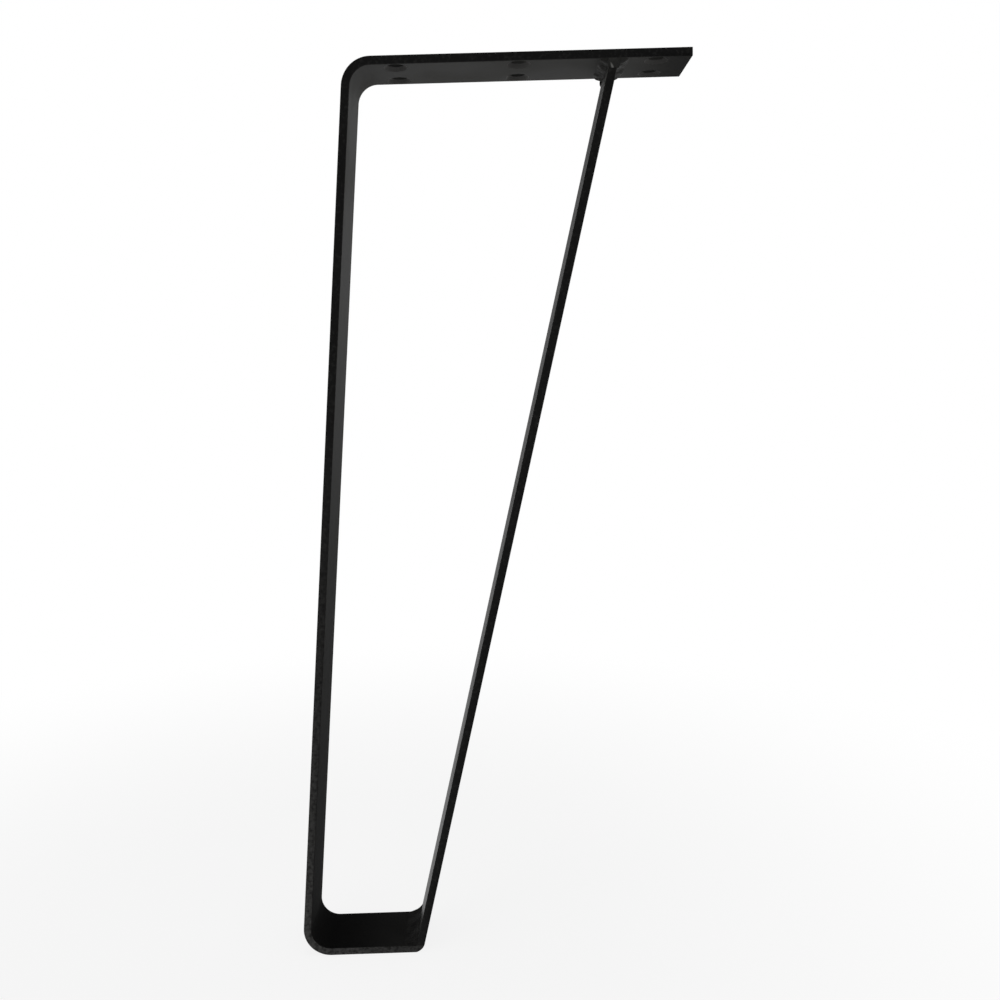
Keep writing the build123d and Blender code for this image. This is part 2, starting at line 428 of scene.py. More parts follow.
def coat_material(
    name,
    look,
    low_roughness,
    patch_size=0.06,
    rub_amount=0.35,
    shade_and_light_amount=1.0,
    mottle=0.0,
):
    """Satin black coat over steel, by how much its edges are rubbed, how much painted shade and light it
    takes, and how dull it is in patches. Towards the floor it nears the low roughness."""
    material = bpy.data.materials.new(name)
    material.use_nodes = True
    tree = material.node_tree
    shader = tree.nodes["Principled BSDF"]
    shader.inputs["Specular IOR Level"].default_value = look.specular

    texture = {"Peel Size": look.peel_size, "Patch Size": patch_size}
    by_height = {"Wear Top": look.floor_light_top, "Dull Top": look.dull_top, "Dull From": look.dull_from}
    surface = placed_group(tree, "coat_texture", coat_texture_group, texture)
    edges = placed_group(tree, "rubbed_edge", rubbed_edge_group, {"Amount": rub_amount})
    wear = placed_group(tree, "wear", shade_light_and_grain_group, by_height)
    seat = wire(tree, "ShaderNodeAttribute", attribute_name="seat").outputs["Fac"]
    blotch = maths(tree, "MULTIPLY", surface["Patch"], mottle)
    # Painted shade on the inner faces, together with the random dark mottle
    dull = maths(tree, "MAXIMUM", maths(tree, "MULTIPLY", wear["Dull"], shade_and_light_amount), blotch)
    floor_light_mask = maths(tree, "MULTIPLY", wear["Scuff"], shade_and_light_amount)

    coat = mixed(tree, surface["Patch"], look.coat, look.dusty)
    coat = mixed(tree, dull, coat, look.shade_and_mottle)
    # The front and back faces take painted shade, with lighter specks of grain
    rolled = mixed(tree, wear["Specks"], look.shade_and_mottle, look.grain)
    coat = mixed(tree, wear["Side"], coat, rolled)
    # Painted light from the floor on the front and back faces near the floor
    coat = mixed(tree, floor_light_mask, coat, look.floor_lit)
    # Painted light in the countersinks
    coat = mixed(tree, seat, coat, look.seat)
    coat = mixed(tree, edges["Mask"], coat, look.rubbed)
    tree.links.new(coat, shader.inputs["Base Color"])

    roughest = look.roughness + look.roughness_spread
    roughness = fade(tree, surface["Patch"], 0.0, 1.0, look.roughness, roughest)
    lower_down = maths(tree, "MAXIMUM", wear["Dull"], blotch)
    roughness = fade(tree, lower_down, 0.0, 1.0, roughness, low_roughness)
    tree.links.new(roughness, shader.inputs["Roughness"])
    bump = wire(tree, "ShaderNodeBump", {"Height": surface["Height"], "Distance": look.peel_depth})
    tree.links.new(bump.outputs["Normal"], shader.inputs["Normal"])
    return material


def bent_bar_coat(look):
    """The coat on the bent bar, which stands on the floor and takes painted light on its sides and painted
    shade on its inner faces there.
    """
    return coat_material("bent_bar_coat", look, look.dull_roughness)


def brace_coat(look):
    """The coat on the brace, which takes no painted shade or light and gets smoother lower down."""
    return coat_material("brace_coat", look, look.brace_roughness, shade_and_light_amount=0.0)


def bare_spot(material, look, middle, reach, slant):
    """Lets the metal show through a coat in one small spot, which is slanted about the Y axis."""
    tree = material.node_tree
    shader = tree.nodes["Principled BSDF"]
    place = wire(tree, "ShaderNodeTexCoord").outputs["Object"]
    inputs = {"Vector": place, "Location": middle, "Rotation": (0, slant, 0), "Scale": reach}
    spot = wire(tree, "ShaderNodeMapping", inputs, vector_type="TEXTURE").outputs["Vector"]
    away = wire(tree, "ShaderNodeVectorMath", {0: spot}, operation="LENGTH").outputs["Value"]
    mask = fade(tree, away, *SPOT_FADE, 1.0, 0.0)
    coat = shader.inputs["Base Color"].links[0].from_socket
    tree.links.new(mixed(tree, mask, coat, look.bare), shader.inputs["Base Color"])
    tree.links.new(mask, shader.inputs["Metallic"])


def weld_coat(name, look):
    """The coat on weld beads, which lies unevenly and takes painted shade near the floor."""
    return coat_material(name, look, look.dull_roughness, patch_size=0.006, rub_amount=0.0, mottle=0.4)


# Meshes and objects


def skin_rows(bm, rows):
    """Faces between rows of points, each of which closes on itself."""
    count = len(rows[0])
    for row, following in zip(rows, rows[1:]):
        for index in range(count):
            past = (index + 1) % count
            bm.faces.new((row[index], row[past], following[past], following[index]))


def mesh_from(name, bm):
    """A mesh of what was built, which is then let go."""
    mesh = bpy.data.meshes.new(name)
    bm.to_mesh(mesh)
    bm.free()
    return mesh


def new_object(name, data):
    """A new object in the scene."""
    made = bpy.data.objects.new(name, data)
    bpy.context.scene.collection.objects.link(made)
    return made


# The leg's lines, in X and Z


def leg_lines(sizes):
    """Slopes, corners and faces of the leg that the pieces share."""
    half = THICKNESS / 2
    bend_x = BENT_HIGH.x - sizes.arm_length
    upright_slope = sizes.upright_lean / -FLOOR_Z
    brace_run = BRACE_HIGH.x - BRACE_LOW.x
    brace_rise = ARM_UNDERSIDE - FOOT_TOP
    # The brace's width along X hangs on its tilt, and its tilt on that width, so both are neared in turns
    tilt = atan2(brace_run, brace_rise)
    for _ in range(8):
        brace_slope = (brace_run - THICKNESS / cos(tilt)) / brace_rise
        tilt = atan2(brace_slope, 1)
    across_brace = THICKNESS / cos(tilt)

    def upright_mid(z):
        return bend_x + upright_slope * z + half * hypot(1, upright_slope)

    def brace_inner(z):
        return BRACE_LOW.x + brace_slope * (z - FOOT_TOP)

    toe_x = brace_inner(FLOOR_Z) + across_brace
    round_x = toe_x - sizes.ground_radius * tan((pi / 2 - tilt) / 2)
    round_centre = Vector((round_x, FLOOR_Z + sizes.ground_radius))
    round_top = round_centre.y - sizes.ground_radius * sin(tilt)

    def ground_face(z):
        """The outer face of the foot's welded end, at a height up to where the round ends."""
        rise = z - round_centre.y
        return round_centre.x + sqrt(max(0, sizes.ground_radius**2 - rise**2))

    return SimpleNamespace(
        half=half,
        arm_end=Vector((BENT_HIGH.x, -half)),
        bend=Vector((upright_mid(-half), -half)),
        heel=Vector((upright_mid(FLOOR_Z + half), FLOOR_Z + half)),
        toe=Vector((toe_x, FLOOR_Z + half)),
        up_brace=Vector((brace_slope, 1)).normalized(),
        inner_head=Vector((brace_inner(ARM_UNDERSIDE), ARM_UNDERSIDE)),
        inner_foot=Vector((brace_inner(FOOT_TOP), FOOT_TOP)),
        across_brace=across_brace,
        brace_inner=brace_inner,
        round_top=round_top,
        ground_face=ground_face,
    )


def rounded_run(corners, radius):
    """Points and headings along a line whose inner corners are rounded, with long straights divided."""
    stations = []

    def straight_to(end):
        start, heading = stations[-1]
        count = ceil((end - start).length / STRAIGHT_STEP)
        for step in range(1, count + 1):
            stations.append((start.lerp(end, step / count), (end - start).normalized()))

    stations.append((corners[0], (corners[1] - corners[0]).normalized()))
    for before, corner, after in zip(corners, corners[1:], corners[2:]):
        heading = (corner - before).normalized()
        turned = (after - corner).normalized()
        turn = atan2(heading.cross(turned), heading.dot(turned))
        straight_to(corner - heading * radius * tan(abs(turn) / 2))
        to_centre = Vector((-heading.y, heading.x)) * (radius if turn > 0 else -radius)
        centre = stations[-1][0] + to_centre
        for step in range(1, BEND_STEPS + 1):
            swing = Matrix.Rotation(turn * step / BEND_STEPS, 2)
            stations.append((centre - swing @ to_centre, swing @ heading))
    straight_to(corners[-1])
    return stations


# Bars


def half_section(inset_across, inset_through, outer_radius, inner_radius):
    """One side of a bar's rounded section, from its outer face to its inner one. Each point is a place
    across, a place through and a share of edge."""
    wide = HALF_WIDTH - inset_across
    thick = THICKNESS / 2 - inset_through
    points = []
    for step in range(EDGE_STEPS + 1):
        swing = pi / 2 * step / EDGE_STEPS
        across = wide - outer_radius * (1 - sin(swing))
        points.append((across, -thick + outer_radius * (1 - cos(swing)), sin(2 * swing)))
    side = 2 * thick - outer_radius - inner_radius
    for step in range(1, SIDE_STEPS):
        points.append((wide, -thick + outer_radius + side * step / SIDE_STEPS, 0))
    for step in range(EDGE_STEPS + 1):
        swing = pi / 2 * step / EDGE_STEPS
        across = wide - inner_radius * (1 - cos(swing))
        points.append((across, thick - inner_radius * (1 - sin(swing)), sin(2 * swing)))
    return points


def whole_section(half_ring):
    """Both sides of a bar's section."""
    return half_ring + [(-across, through, edge) for across, through, edge in reversed(half_ring)]


def inner_share(through):
    """Nought on a bar's outer face and one on its inner face, by the place through the bar."""
    return min(1, max(0, 0.5 + through / THICKNESS))


def section_ring(station, half_ring):
    """A whole section at a station: places in space, each with its shares of edge and of inner face."""
    point, heading = station
    inward = Vector((-heading.y, heading.x))
    ring = []
    for across, through, edge in whole_section(half_ring):
        place = point + inward * through
        ring.append((Vector((place.x, across, place.y)), edge, inner_share(through)))
    return ring


def skinned(name, rings):
    """A closed mesh over rings of equal count. Each end is closed across the bar, in strips."""
    bm = bmesh.new()
    edge_layer = bm.verts.layers.float.new("edge")
    side_layer = bm.verts.layers.float.new("side")
    inner_layer = bm.verts.layers.float.new("inner")
    rows = []
    for ring in rings:
        row = []
        for place, edge, inner in ring:
            vertex = bm.verts.new(place)
            vertex[edge_layer] = edge
            vertex[inner_layer] = inner
            row.append(vertex)
        rows.append(row)
    skin_rows(bm, rows)
    count = len(rows[0])
    for row in (rows[0], rows[-1]):
        for index in range(count // 2 - 1):
            mirror = count - 1 - index
            bm.faces.new((row[index], row[index + 1], row[mirror - 1], row[mirror]))
    bmesh.ops.recalc_face_normals(bm, faces=bm.faces)
    bm.normal_update()
    # How much each point looks to the front or back; these faces take painted shade, and painted light from
    # the floor lower down
    for vertex in bm.verts:
        vertex[side_layer] = abs(vertex.normal.y)
    return mesh_from(name, bm)


def edge_round(radius):
    """Inset and set-back of each ring that rounds an end, from its face outwards."""
    for step in range(END_STEPS + 1):
        swing = pi / 2 * step / END_STEPS
        yield radius * (1 - sin(swing)), radius * (1 - cos(swing))


def bent_bar_rings(sizes, lines):
    """The bent bar from its sawn end to its ground one."""
    full = half_section(0, 0, sizes.edge_radius, sizes.edge_radius)
    corners = [lines.arm_end, lines.bend, lines.heel, lines.toe]
    stations = rounded_run(corners, sizes.bend_radius + lines.half)
    seam_x = lines.inner_foot.x
    # Under the brace the inner edges are all but sharp
    flat_edge = sizes.edge_radius / 20
    nearly_level = 0.99

    rings = []
    start, heading = stations[0]
    for inset, back in edge_round(sizes.sawn_radius):
        section = half_section(inset, inset, sizes.edge_radius - inset, sizes.edge_radius - inset)
        rings.append(section_ring((start + heading * back, heading), section))
    for point, heading in stations[1:]:
        on_foot = heading.x > nearly_level
        if not (on_foot and point.x > seam_x - MILLIMETRE):
            rings.append(section_ring((point, heading), full))

    toe_heading = stations[-1][1]
    for x, inner_radius in ((seam_x - MILLIMETRE, sizes.edge_radius), (seam_x, flat_edge)):
        section = half_section(0, 0, sizes.edge_radius, inner_radius)
        rings.append(section_ring((Vector((x, lines.toe.y)), toe_heading), section))
    for inset, back in reversed(list(edge_round(sizes.edge_radius))):
        ring = section_ring(stations[-1], half_section(inset, 0, sizes.edge_radius, flat_edge))
        for place, *_ in ring:
            place.x = lines.ground_face(place.z) - back
        rings.append(ring)
    return rings


def brace_rings(sizes, lines):
    """The brace from the foot to the arm, in level slices."""
    section = half_section(0, 0, sizes.edge_radius, sizes.edge_radius)
    widen = lines.across_brace / THICKNESS
    rise = ARM_UNDERSIDE - lines.round_top
    count = ceil(rise / STRAIGHT_STEP)
    levels = [FOOT_TOP, (FOOT_TOP + lines.round_top) / 2]
    levels += [lines.round_top + rise * step / count for step in range(count + 1)]
    rings = []
    for level in levels:
        middle = lines.brace_inner(level) + lines.across_brace / 2
        ring = []
        for across, through, edge in whole_section(section):
            x = middle - through * widen
            if level < lines.round_top:
                x = min(x, lines.ground_face(level))
            ring.append((Vector((x, across, level)), edge, inner_share(through)))
        rings.append(ring)
    return rings


# Screw holes


def hole_outline(sizes):
    """Outline of a countersunk hole with round rims, from under the arm to above it. Each point is a
    radius, a height, a share of edge and a share of screw seat, which takes painted light."""
    bore = MOUNTS["corner_screws"]["dims"]["hole_r_mm"] * MILLIMETRE
    head = sizes.countersink_width / 2
    lip = sizes.lip_radius
    reach = lip * tan(pi / 8)
    past = MILLIMETRE
    outline = [(0, ARM_UNDERSIDE - past, 0, 0), (head + reach, ARM_UNDERSIDE - past, 0, 0)]
    for step in range(LIP_STEPS + 1):
        swing = pi / 4 * step / LIP_STEPS
        place = (head + reach - lip * sin(swing), ARM_UNDERSIDE + lip * (1 - cos(swing)))
        outline.append((*place, sin(4 * swing), step / LIP_STEPS))
    cone_top = ARM_UNDERSIDE + head - bore
    outline += [(bore + lip, cone_top - lip, 0, 1), (bore, cone_top, 0, 0)]
    for step in range(LIP_STEPS + 1):
        swing = pi / 2 * step / LIP_STEPS
        outline.append((bore + lip * (1 - cos(swing)), -lip * (1 - sin(swing)), sin(2 * swing), 0))
    outline += [(bore + lip, past, 0, 0), (0, past, 0, 0)]
    return outline


def hole_cutter(sizes):
    """The form that cuts one screw hole: the hole's outline, turned about its axis."""
    outline = hole_outline(sizes)
    bm = bmesh.new()
    edge_layer = bm.verts.layers.float.new("edge")
    seat_layer = bm.verts.layers.float.new("seat")
    inner_layer = bm.verts.layers.float.new("inner")
    columns = []
    for step in range(HOLE_STEPS):
        swing = 2 * pi * step / HOLE_STEPS
        column = []
        for radius, z, edge, seat in outline:
            vertex = bm.verts.new((radius * cos(swing), radius * sin(swing), z))
            vertex[edge_layer] = edge
            vertex[seat_layer] = seat
            vertex[inner_layer] = inner_share(-z - THICKNESS / 2)
            column.append(vertex)
        columns.append(column)
    for column, following in zip(columns, columns[1:] + columns[:1]):
        for index in range(len(outline) - 1):
            bm.faces.new((column[index], column[index + 1], following[index + 1], following[index]))
    bmesh.ops.remove_doubles(bm, verts=bm.verts, dist=MILLIMETRE / 1000)
    bmesh.ops.recalc_face_normals(bm, faces=bm.faces)
    return bpy.data.objects.new("hole_cutter", mesh_from("hole_cutter", bm))


def cutter_values(tree, mesh, cutters):
    """The mesh with the cutters' values on the points that the cut took over from them or made nearby."""
    place = wire(tree, "GeometryNodeInputPosition").outputs["Position"]
    nearest = wire(tree, "GeometryNodeSampleNearest", {"Geometry": cutters}).outputs["Index"]
    inputs = {"Geometry": cutters, "Value": place, "Index": nearest}
    there = wire(tree, "GeometryNodeSampleIndex", inputs, data_type="FLOAT_VECTOR").outputs["Value"]
    away = wire(tree, "ShaderNodeVectorMath", {0: place, 1: there}, operation="DISTANCE").outputs["Value"]
    taken = maths(tree, "LESS_THAN", away, MILLIMETRE / 2)
    for name in ("edge", "seat", "side", "inner"):
        inputs = {"Geometry": cutters, "Value": stored(tree, name), "Index": nearest}
        value = wire(tree, "GeometryNodeSampleIndex", inputs, data_type="FLOAT").outputs["Value"]
        inputs = {"Geometry": mesh, "Selection": taken, "Name": name, "Value": value}
        mesh = wire(tree, "GeometryNodeStoreNamedAttribute", inputs, data_type="FLOAT").outputs["Geometry"]
    return mesh


def screw_hole_tree():
    """Cuts pairs of holes across a bar, at three places along it."""
    inputs = [
        ("Hole Cutter", "NodeSocketObject", None),
        ("Row Spacing", "NodeSocketFloat", 0.03),
        ("First Pair", "NodeSocketFloat", -0.1),
        ("Middle Pair", "NodeSocketFloat", 0.0),
        ("Last Pair", "NodeSocketFloat", 0.1),
    ]
    tree, ins, outs = geometry_group("screw_holes", inputs)
    half_row = maths(tree, "MULTIPLY", ins.outputs["Row Spacing"], -0.5)
    apart = wire(tree, "ShaderNodeCombineXYZ", {"Y": ins.outputs["Row Spacing"]}).outputs["Vector"]
    pairs = []
    for label in ("First Pair", "Middle Pair", "Last Pair"):
        start = wire(tree, "ShaderNodeCombineXYZ", {"X": ins.outputs[label], "Y": half_row})
        inputs = {"Count": 2, "Start Location": start.outputs["Vector"], "Offset": apart}
        pairs.append(wire(tree, "GeometryNodeMeshLine", inputs).outputs["Mesh"])
    places = wire(tree, "GeometryNodeJoinGeometry", {"Geometry": pairs})
    cutter = wire(tree, "GeometryNodeObjectInfo", {"Object": ins.outputs["Hole Cutter"]})
    spread = wire(
        tree,
        "GeometryNodeInstanceOnPoints",
        {"Points": places.outputs["Geometry"], "Instance": cutter.outputs["Geometry"]},
    )
    cutters = wire(tree, "GeometryNodeRealizeInstances", {"Geometry": spread.outputs["Instances"]})
    bored = wire(
        tree,
        "GeometryNodeMeshBoolean",
        {"Mesh 1": ins.outputs["Geometry"], "Mesh 2": cutters.outputs["Geometry"]},
        operation="DIFFERENCE",
        solver="EXACT",
    )
    marked = cutter_values(tree, bored.outputs["Mesh"], cutters.outputs["Geometry"])
    coated_end(tree, ins, outs, marked)
    return tree


# Weld beads


def bead_face(root, level_leg, slant_leg, bulge):
    """Points across a fillet bead's face, from a little under one toe to the other. A bulge below nought
    is a hollow."""
    middle = root + (level_leg + slant_leg) / 2
    half_chord = (slant_leg - level_leg) / 2
    outward = level_leg - half_chord * level_leg.dot(half_chord) / half_chord.length_squared
    outward.normalize()
    radius = (half_chord.length_squared + bulge**2) / (2 * abs(bulge))
    spread = atan2(half_chord.length, radius - abs(bulge))
    face = []
    for step in range(BEAD_STEPS_ACROSS + 1):
        across = FACE_UNDER * (2 * step / BEAD_STEPS_ACROSS - 1)
        swing = spread * across
        rise = bulge - copysign(radius * (1 - cos(swing)), bulge)
        face.append((middle + outward * rise + half_chord.normalized() * radius * sin(swing), across))
    return face


def bead_strip(bm, layers, stations, closed_root):
    """Skins a bead over its stations. Each is a distance along it and points with their place across it,
    and closed_root gives the hidden point that closes each ring."""
    rows = []
    for along, points in stations:
        row = []
        for place, across in points + [(closed_root(points), 0)]:
            vertex = bm.verts.new(place)
            vertex[layers["along"]] = along
            vertex[layers["across"]] = across
            # Beads count as inner faces, so near the floor they take painted shade
            vertex[layers["inner"]] = 1
            vertex[layers["lift"]] = max(0, 1 - across**2)
            row.append(vertex)
        row[-1][layers["lift"]] = 0
        rows.append(row)
    skin_rows(bm, rows)
    bm.faces.new(rows[0])
    bm.faces.new(rows[-1])


def end_swell(distance, run):
    """How full a bead is at a distance from its end: nearly nothing there, whole after the run."""
    if distance >= run:
        return 1
    return max(END_FULLNESS, sqrt(1 - (1 - distance / run) ** 2))


def strayed(along, across, welds):
    """How far a bead reaches at a place, as a share of its reach: each of its toes strays by itself."""
    level_toe, slant_toe = [
        welds.toe_wander * noise.noise(Vector((along / welds.lump_size, welds.seed, toe))) for toe in (0, 3)
    ]
    blend = min(1, max(0, (1 + across) / 2))
    return 1 + level_toe * (1 - blend) + slant_toe * blend


def fillet_bead(bm, layers, welds, root, face, end_run):
    """A bead right across the bar, along a root in X and Z."""
    crown = face[len(face) // 2][0]
    sunk = root + (root - crown) * ROOT_SINK
    stations = []
    for step in range(BEAD_STEPS_ALONG + 1):
        along = 2 * HALF_WIDTH * step / BEAD_STEPS_ALONG
        y = along - HALF_WIDTH
        swell = end_swell(min(along, 2 * HALF_WIDTH - along), end_run)
        points = []
        for place, across in face:
            flat = sunk + (place - sunk) * swell * strayed(along + root.x, across, welds)
            points.append((Vector((flat.x, y, flat.y)), across))
        stations.append((along, points))
    bead_strip(bm, layers, stations, lambda points: Vector((sunk.x, points[0][0].y, sunk.y)))


def side_bead(bm, layers, welds, lines, side):
    """The low mound under the arm on the brace's edge, on the front (-1) or the back (1)."""
    middle_z = ARM_UNDERSIDE - welds.side_drop
    reach = lines.across_brace / 2 + welds.side_overrun
    start_x = lines.brace_inner(middle_z) - welds.side_overrun
    sunk = MOUND_SINK * welds.side_height
    stations = []
    for step in range(BEAD_STEPS_AROUND + 1):
        along = 2 * reach * step / BEAD_STEPS_AROUND
        swell = end_swell(min(along, 2 * reach - along), 2 * welds.side_overrun)
        points = []
        for mark in range(BEAD_STEPS_ACROSS + 1):
            across = 2 * mark / BEAD_STEPS_ACROSS - 1
            out = HALF_WIDTH - sunk + (welds.side_height + sunk) * swell * (1 - across**2)
            z = middle_z + across * swell * welds.side_width / 2
            points.append((Vector((start_x + along, side * out, z)), across))
        stations.append((along, points))

    def inside(points):
        return Vector((points[0][0].x, side * (HALF_WIDTH - welds.side_height), middle_z))

    bead_strip(bm, layers, stations, inside)


def weld_ripple_tree():
    """Lays overlapping ripples and lumps on bead faces, by how far along and across them a point is."""
    inputs = [
        ("Ripple Pitch", "NodeSocketFloat", 0.004),
        ("Ripple Height", "NodeSocketFloat", 0.0003),
        ("Crescent", "NodeSocketFloat", 0.7),
        ("Lump Size", "NodeSocketFloat", 0.01),
        ("Lump Height", "NodeSocketFloat", 0.0005),
        ("Seed", "NodeSocketInt", 0),
    ]
    tree, ins, outs = geometry_group("weld_ripples", inputs)
    along, across, lift = [stored(tree, name) for name in ("along", "across", "lift")]
    place = wire(tree, "GeometryNodeInputPosition").outputs["Position"]
    lump_scale = maths(tree, "DIVIDE", 1.0, ins.outputs["Lump Size"])
    inputs = {"Vector": place, "W": ins.outputs["Seed"], "Scale": lump_scale, "Detail": 2.0}
    slow = wire(tree, "ShaderNodeTexNoise", inputs, noise_dimensions="4D").outputs["Fac"]

    # Ripples are crescents, and a slow noise about one half shifts them to and fro
    wander = maths(tree, "MULTIPLY_ADD", slow, *WANDER)
    lead = maths(tree, "MULTIPLY", maths(tree, "MULTIPLY", across, across), ins.outputs["Crescent"])
    turns = maths(tree, "DIVIDE", along, ins.outputs["Ripple Pitch"])
    phase = maths(tree, "ADD", maths(tree, "SUBTRACT", turns, lead), wander)
    within = maths(tree, "FRACT", phase)
    number = maths(tree, "ADD", maths(tree, "FLOOR", phase), ins.outputs["Seed"])
    chance = wire(tree, "ShaderNodeTexWhiteNoise", {"W": number}, noise_dimensions="1D").outputs["Value"]
    leaning = maths(tree, "POWER", within, RIPPLE_LEAN)
    wave = maths(tree, "SINE", maths(tree, "MULTIPLY", leaning, pi))
    depth_share = maths(tree, "MULTIPLY_ADD", chance, *RIPPLE_DEPTH)
    depth = maths(tree, "MULTIPLY", ins.outputs["Ripple Height"], depth_share)
    ripple = maths(tree, "MULTIPLY", depth, maths(tree, "SUBTRACT", wave, 1.0))

    # The same noise makes the lumps, which fall a little more than they rise
    uneven = maths(tree, "MULTIPLY_ADD", slow, *LUMP_RISE)
    lumps = maths(tree, "MULTIPLY", ins.outputs["Lump Height"], uneven)
    raised = maths(tree, "MULTIPLY", lift, maths(tree, "ADD", ripple, lumps))
    normal = wire(tree, "GeometryNodeInputNormal").outputs["Normal"]
    offset = wire(tree, "ShaderNodeVectorMath", {0: normal, "Scale": raised}, operation="SCALE")
    inputs = {"Geometry": ins.outputs["Geometry"], "Offset": offset.outputs["Vector"]}
    rippled = wire(tree, "GeometryNodeSetPosition", inputs)
    coated_end(tree, ins, outs, rippled.outputs["Geometry"])
    return tree


def new_bead_mesh():
    """An empty mesh to lay beads in, with the layers that the ripples and the coat read."""
    bm = bmesh.new()
    layers = {name: bm.verts.layers.float.new(name) for name in ("along", "across", "lift", "inner")}
    return bm, layers


def top_beads(welds, lines):
    """The beads round the brace's upper end: one on each of its faces and a mound on each of its edges."""
    along_arm = Vector((welds.arm_leg, 0))
    down_head = lines.up_brace * -welds.head_leg
    outer_head = lines.inner_head + Vector((lines.across_brace, 0))
    bm, layers = new_bead_mesh()
    for root, level_leg in ((lines.inner_head, -along_arm), (outer_head, along_arm)):
        face = bead_face(root, level_leg, down_head, welds.top_bulge)
        fillet_bead(bm, layers, welds, root, face, welds.arm_leg / 2)
    for side in (-1, 1):
        side_bead(bm, layers, welds, lines, side)
    return bm


def foot_bead(welds, lines):
    """The hollow bead in the inside corner between foot and brace."""
    along_foot = Vector((-welds.foot_leg, 0))
    up_heel = lines.up_brace * welds.heel_leg
    bm, layers = new_bead_mesh()
    face = bead_face(lines.inner_foot, along_foot, up_heel, -welds.foot_hollow)
    fillet_bead(bm, layers, welds, lines.inner_foot, face, welds.foot_hollow)
    return bm


def bead_object(name, bm, welds, coat):
    """The beads as one object, rippled and coated."""
    bmesh.ops.recalc_face_normals(bm, faces=bm.faces)
    piece = new_object(name, mesh_from(name, bm))
    values = {
        "Ripple Pitch": welds.ripple_pitch,
        "Ripple Height": welds.ripple_height,
        "Lump Size": welds.lump_size,
        "Lump Height": welds.lump_height,
        "Seed": welds.seed,
        "Coat": coat,
    }
    return grown(piece, shared_group("weld_ripples", weld_ripple_tree), values)


# Finishing of pieces


def grown(piece, tree, values):
    """The object after a geometry tree with these inputs, as a plain mesh."""
    modifier = piece.modifiers.new(tree.name, "NODES")
    modifier.node_group = tree
    sockets = [item for item in tree.interface.items_tree if item.in_out == "INPUT"]
    identifiers = {socket.name: socket.identifier for socket in sockets}
    for label, value in values.items():
        modifier[identifiers[label]] = value
    return settled(piece)


def settled(piece):
    """The object with its modifiers made part of its mesh."""
    evaluated = piece.evaluated_get(bpy.context.evaluated_depsgraph_get())
    mesh = bpy.data.meshes.new_from_object(evaluated)
    piece.modifiers.clear()
    piece.data = mesh
    mesh.name = piece.name
    return piece


def smoothed(piece):
    """Smooth shading that keeps flats flat and corners sharp."""
    mesh = piece.data
    mesh.polygons.foreach_set("use_smooth", [True] * len(mesh.polygons))
    mesh.set_sharp_from_angle(angle=SHARP_ANGLE)
    weighted = piece.modifiers.new("flat_faces_first", "WEIGHTED_NORMAL")
    weighted.keep_sharp = True
    weighted.weight = 100
    return settled(piece)


def fitted(piece, node):
    """The piece takes the place of a node of the packed model."""
    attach(piece, "root")
    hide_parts(node)


class LEG_OT_bent_bar(bpy.types.Operator):
    """Make the bent bar: arm with its screw holes, leaning upright and foot"""

    bl_idname = "table_leg.bent_bar"
    bl_label = "Bent bar"

    def execute(self, context):
        sizes = context.scene.leg_sizes
        screws = MOUNTS["corner_screws"]["dims"]
        half_span = screws["spacing_x_mm"] * MILLIMETRE / 2
        cutter = hole_cutter(sizes)
        mesh = skinned("bent_flat_bar", bent_bar_rings(sizes, leg_lines(sizes)))
        piece = new_object("bent_flat_bar", mesh)
        values = {
            "Hole Cutter": cutter,
            "Row Spacing": screws["spacing_y_mm"] * MILLIMETRE,
            "First Pair": -half_span,
            "Middle Pair": MOUNTS["middle_screws"]["pos_m"][0],
            "Last Pair": half_span,
            "Coat": bent_bar_coat(context.scene.coat_look),
        }
        grown(piece, shared_group("screw_holes", screw_hole_tree), values)
        bpy.data.objects.remove(cutter)
        fitted(smoothed(piece), "bent_bar")
        return {"FINISHED"}


class LEG_OT_brace_bar(bpy.types.Operator):
    """Make the straight brace between the foot and the arm"""

    bl_idname = "table_leg.brace_bar"
    bl_label = "Brace bar"

    def execute(self, context):
        sizes = context.scene.leg_sizes
        mesh = skinned("straight_brace", brace_rings(sizes, leg_lines(sizes)))
        mesh.materials.append(brace_coat(context.scene.coat_look))
        piece = new_object("straight_brace", mesh)
        fitted(smoothed(piece), "brace_bar")
        return {"FINISHED"}


class LEG_OT_weld_beads(bpy.types.Operator):
    """Lay the weld beads at both ends of the brace"""

    bl_idname = "table_leg.weld_beads"
    bl_label = "Weld beads"

    def execute(self, context):
        welds = context.scene.weld_sizes
        look = context.scene.coat_look
        lines = leg_lines(context.scene.leg_sizes)
        top_coat = weld_coat("top_weld_coat", look)
        bare_middle = (lines.inner_head.x + BARE_SIDEWAYS, -HALF_WIDTH, ARM_UNDERSIDE - BARE_DROP)
        bare_spot(top_coat, look, bare_middle, BARE_REACH, BARE_SLANT)
        top = bead_object("top_weld_bead", top_beads(welds, lines), welds, top_coat)
        fitted(smoothed(top), "brace_top_weld")

        foot_coat = weld_coat("foot_weld_coat", look)
        foot = bead_object("foot_weld_bead", foot_bead(welds, lines), welds, foot_coat)
        fitted(smoothed(foot), "brace_foot_weld")
        return {"FINISHED"}


# Stage


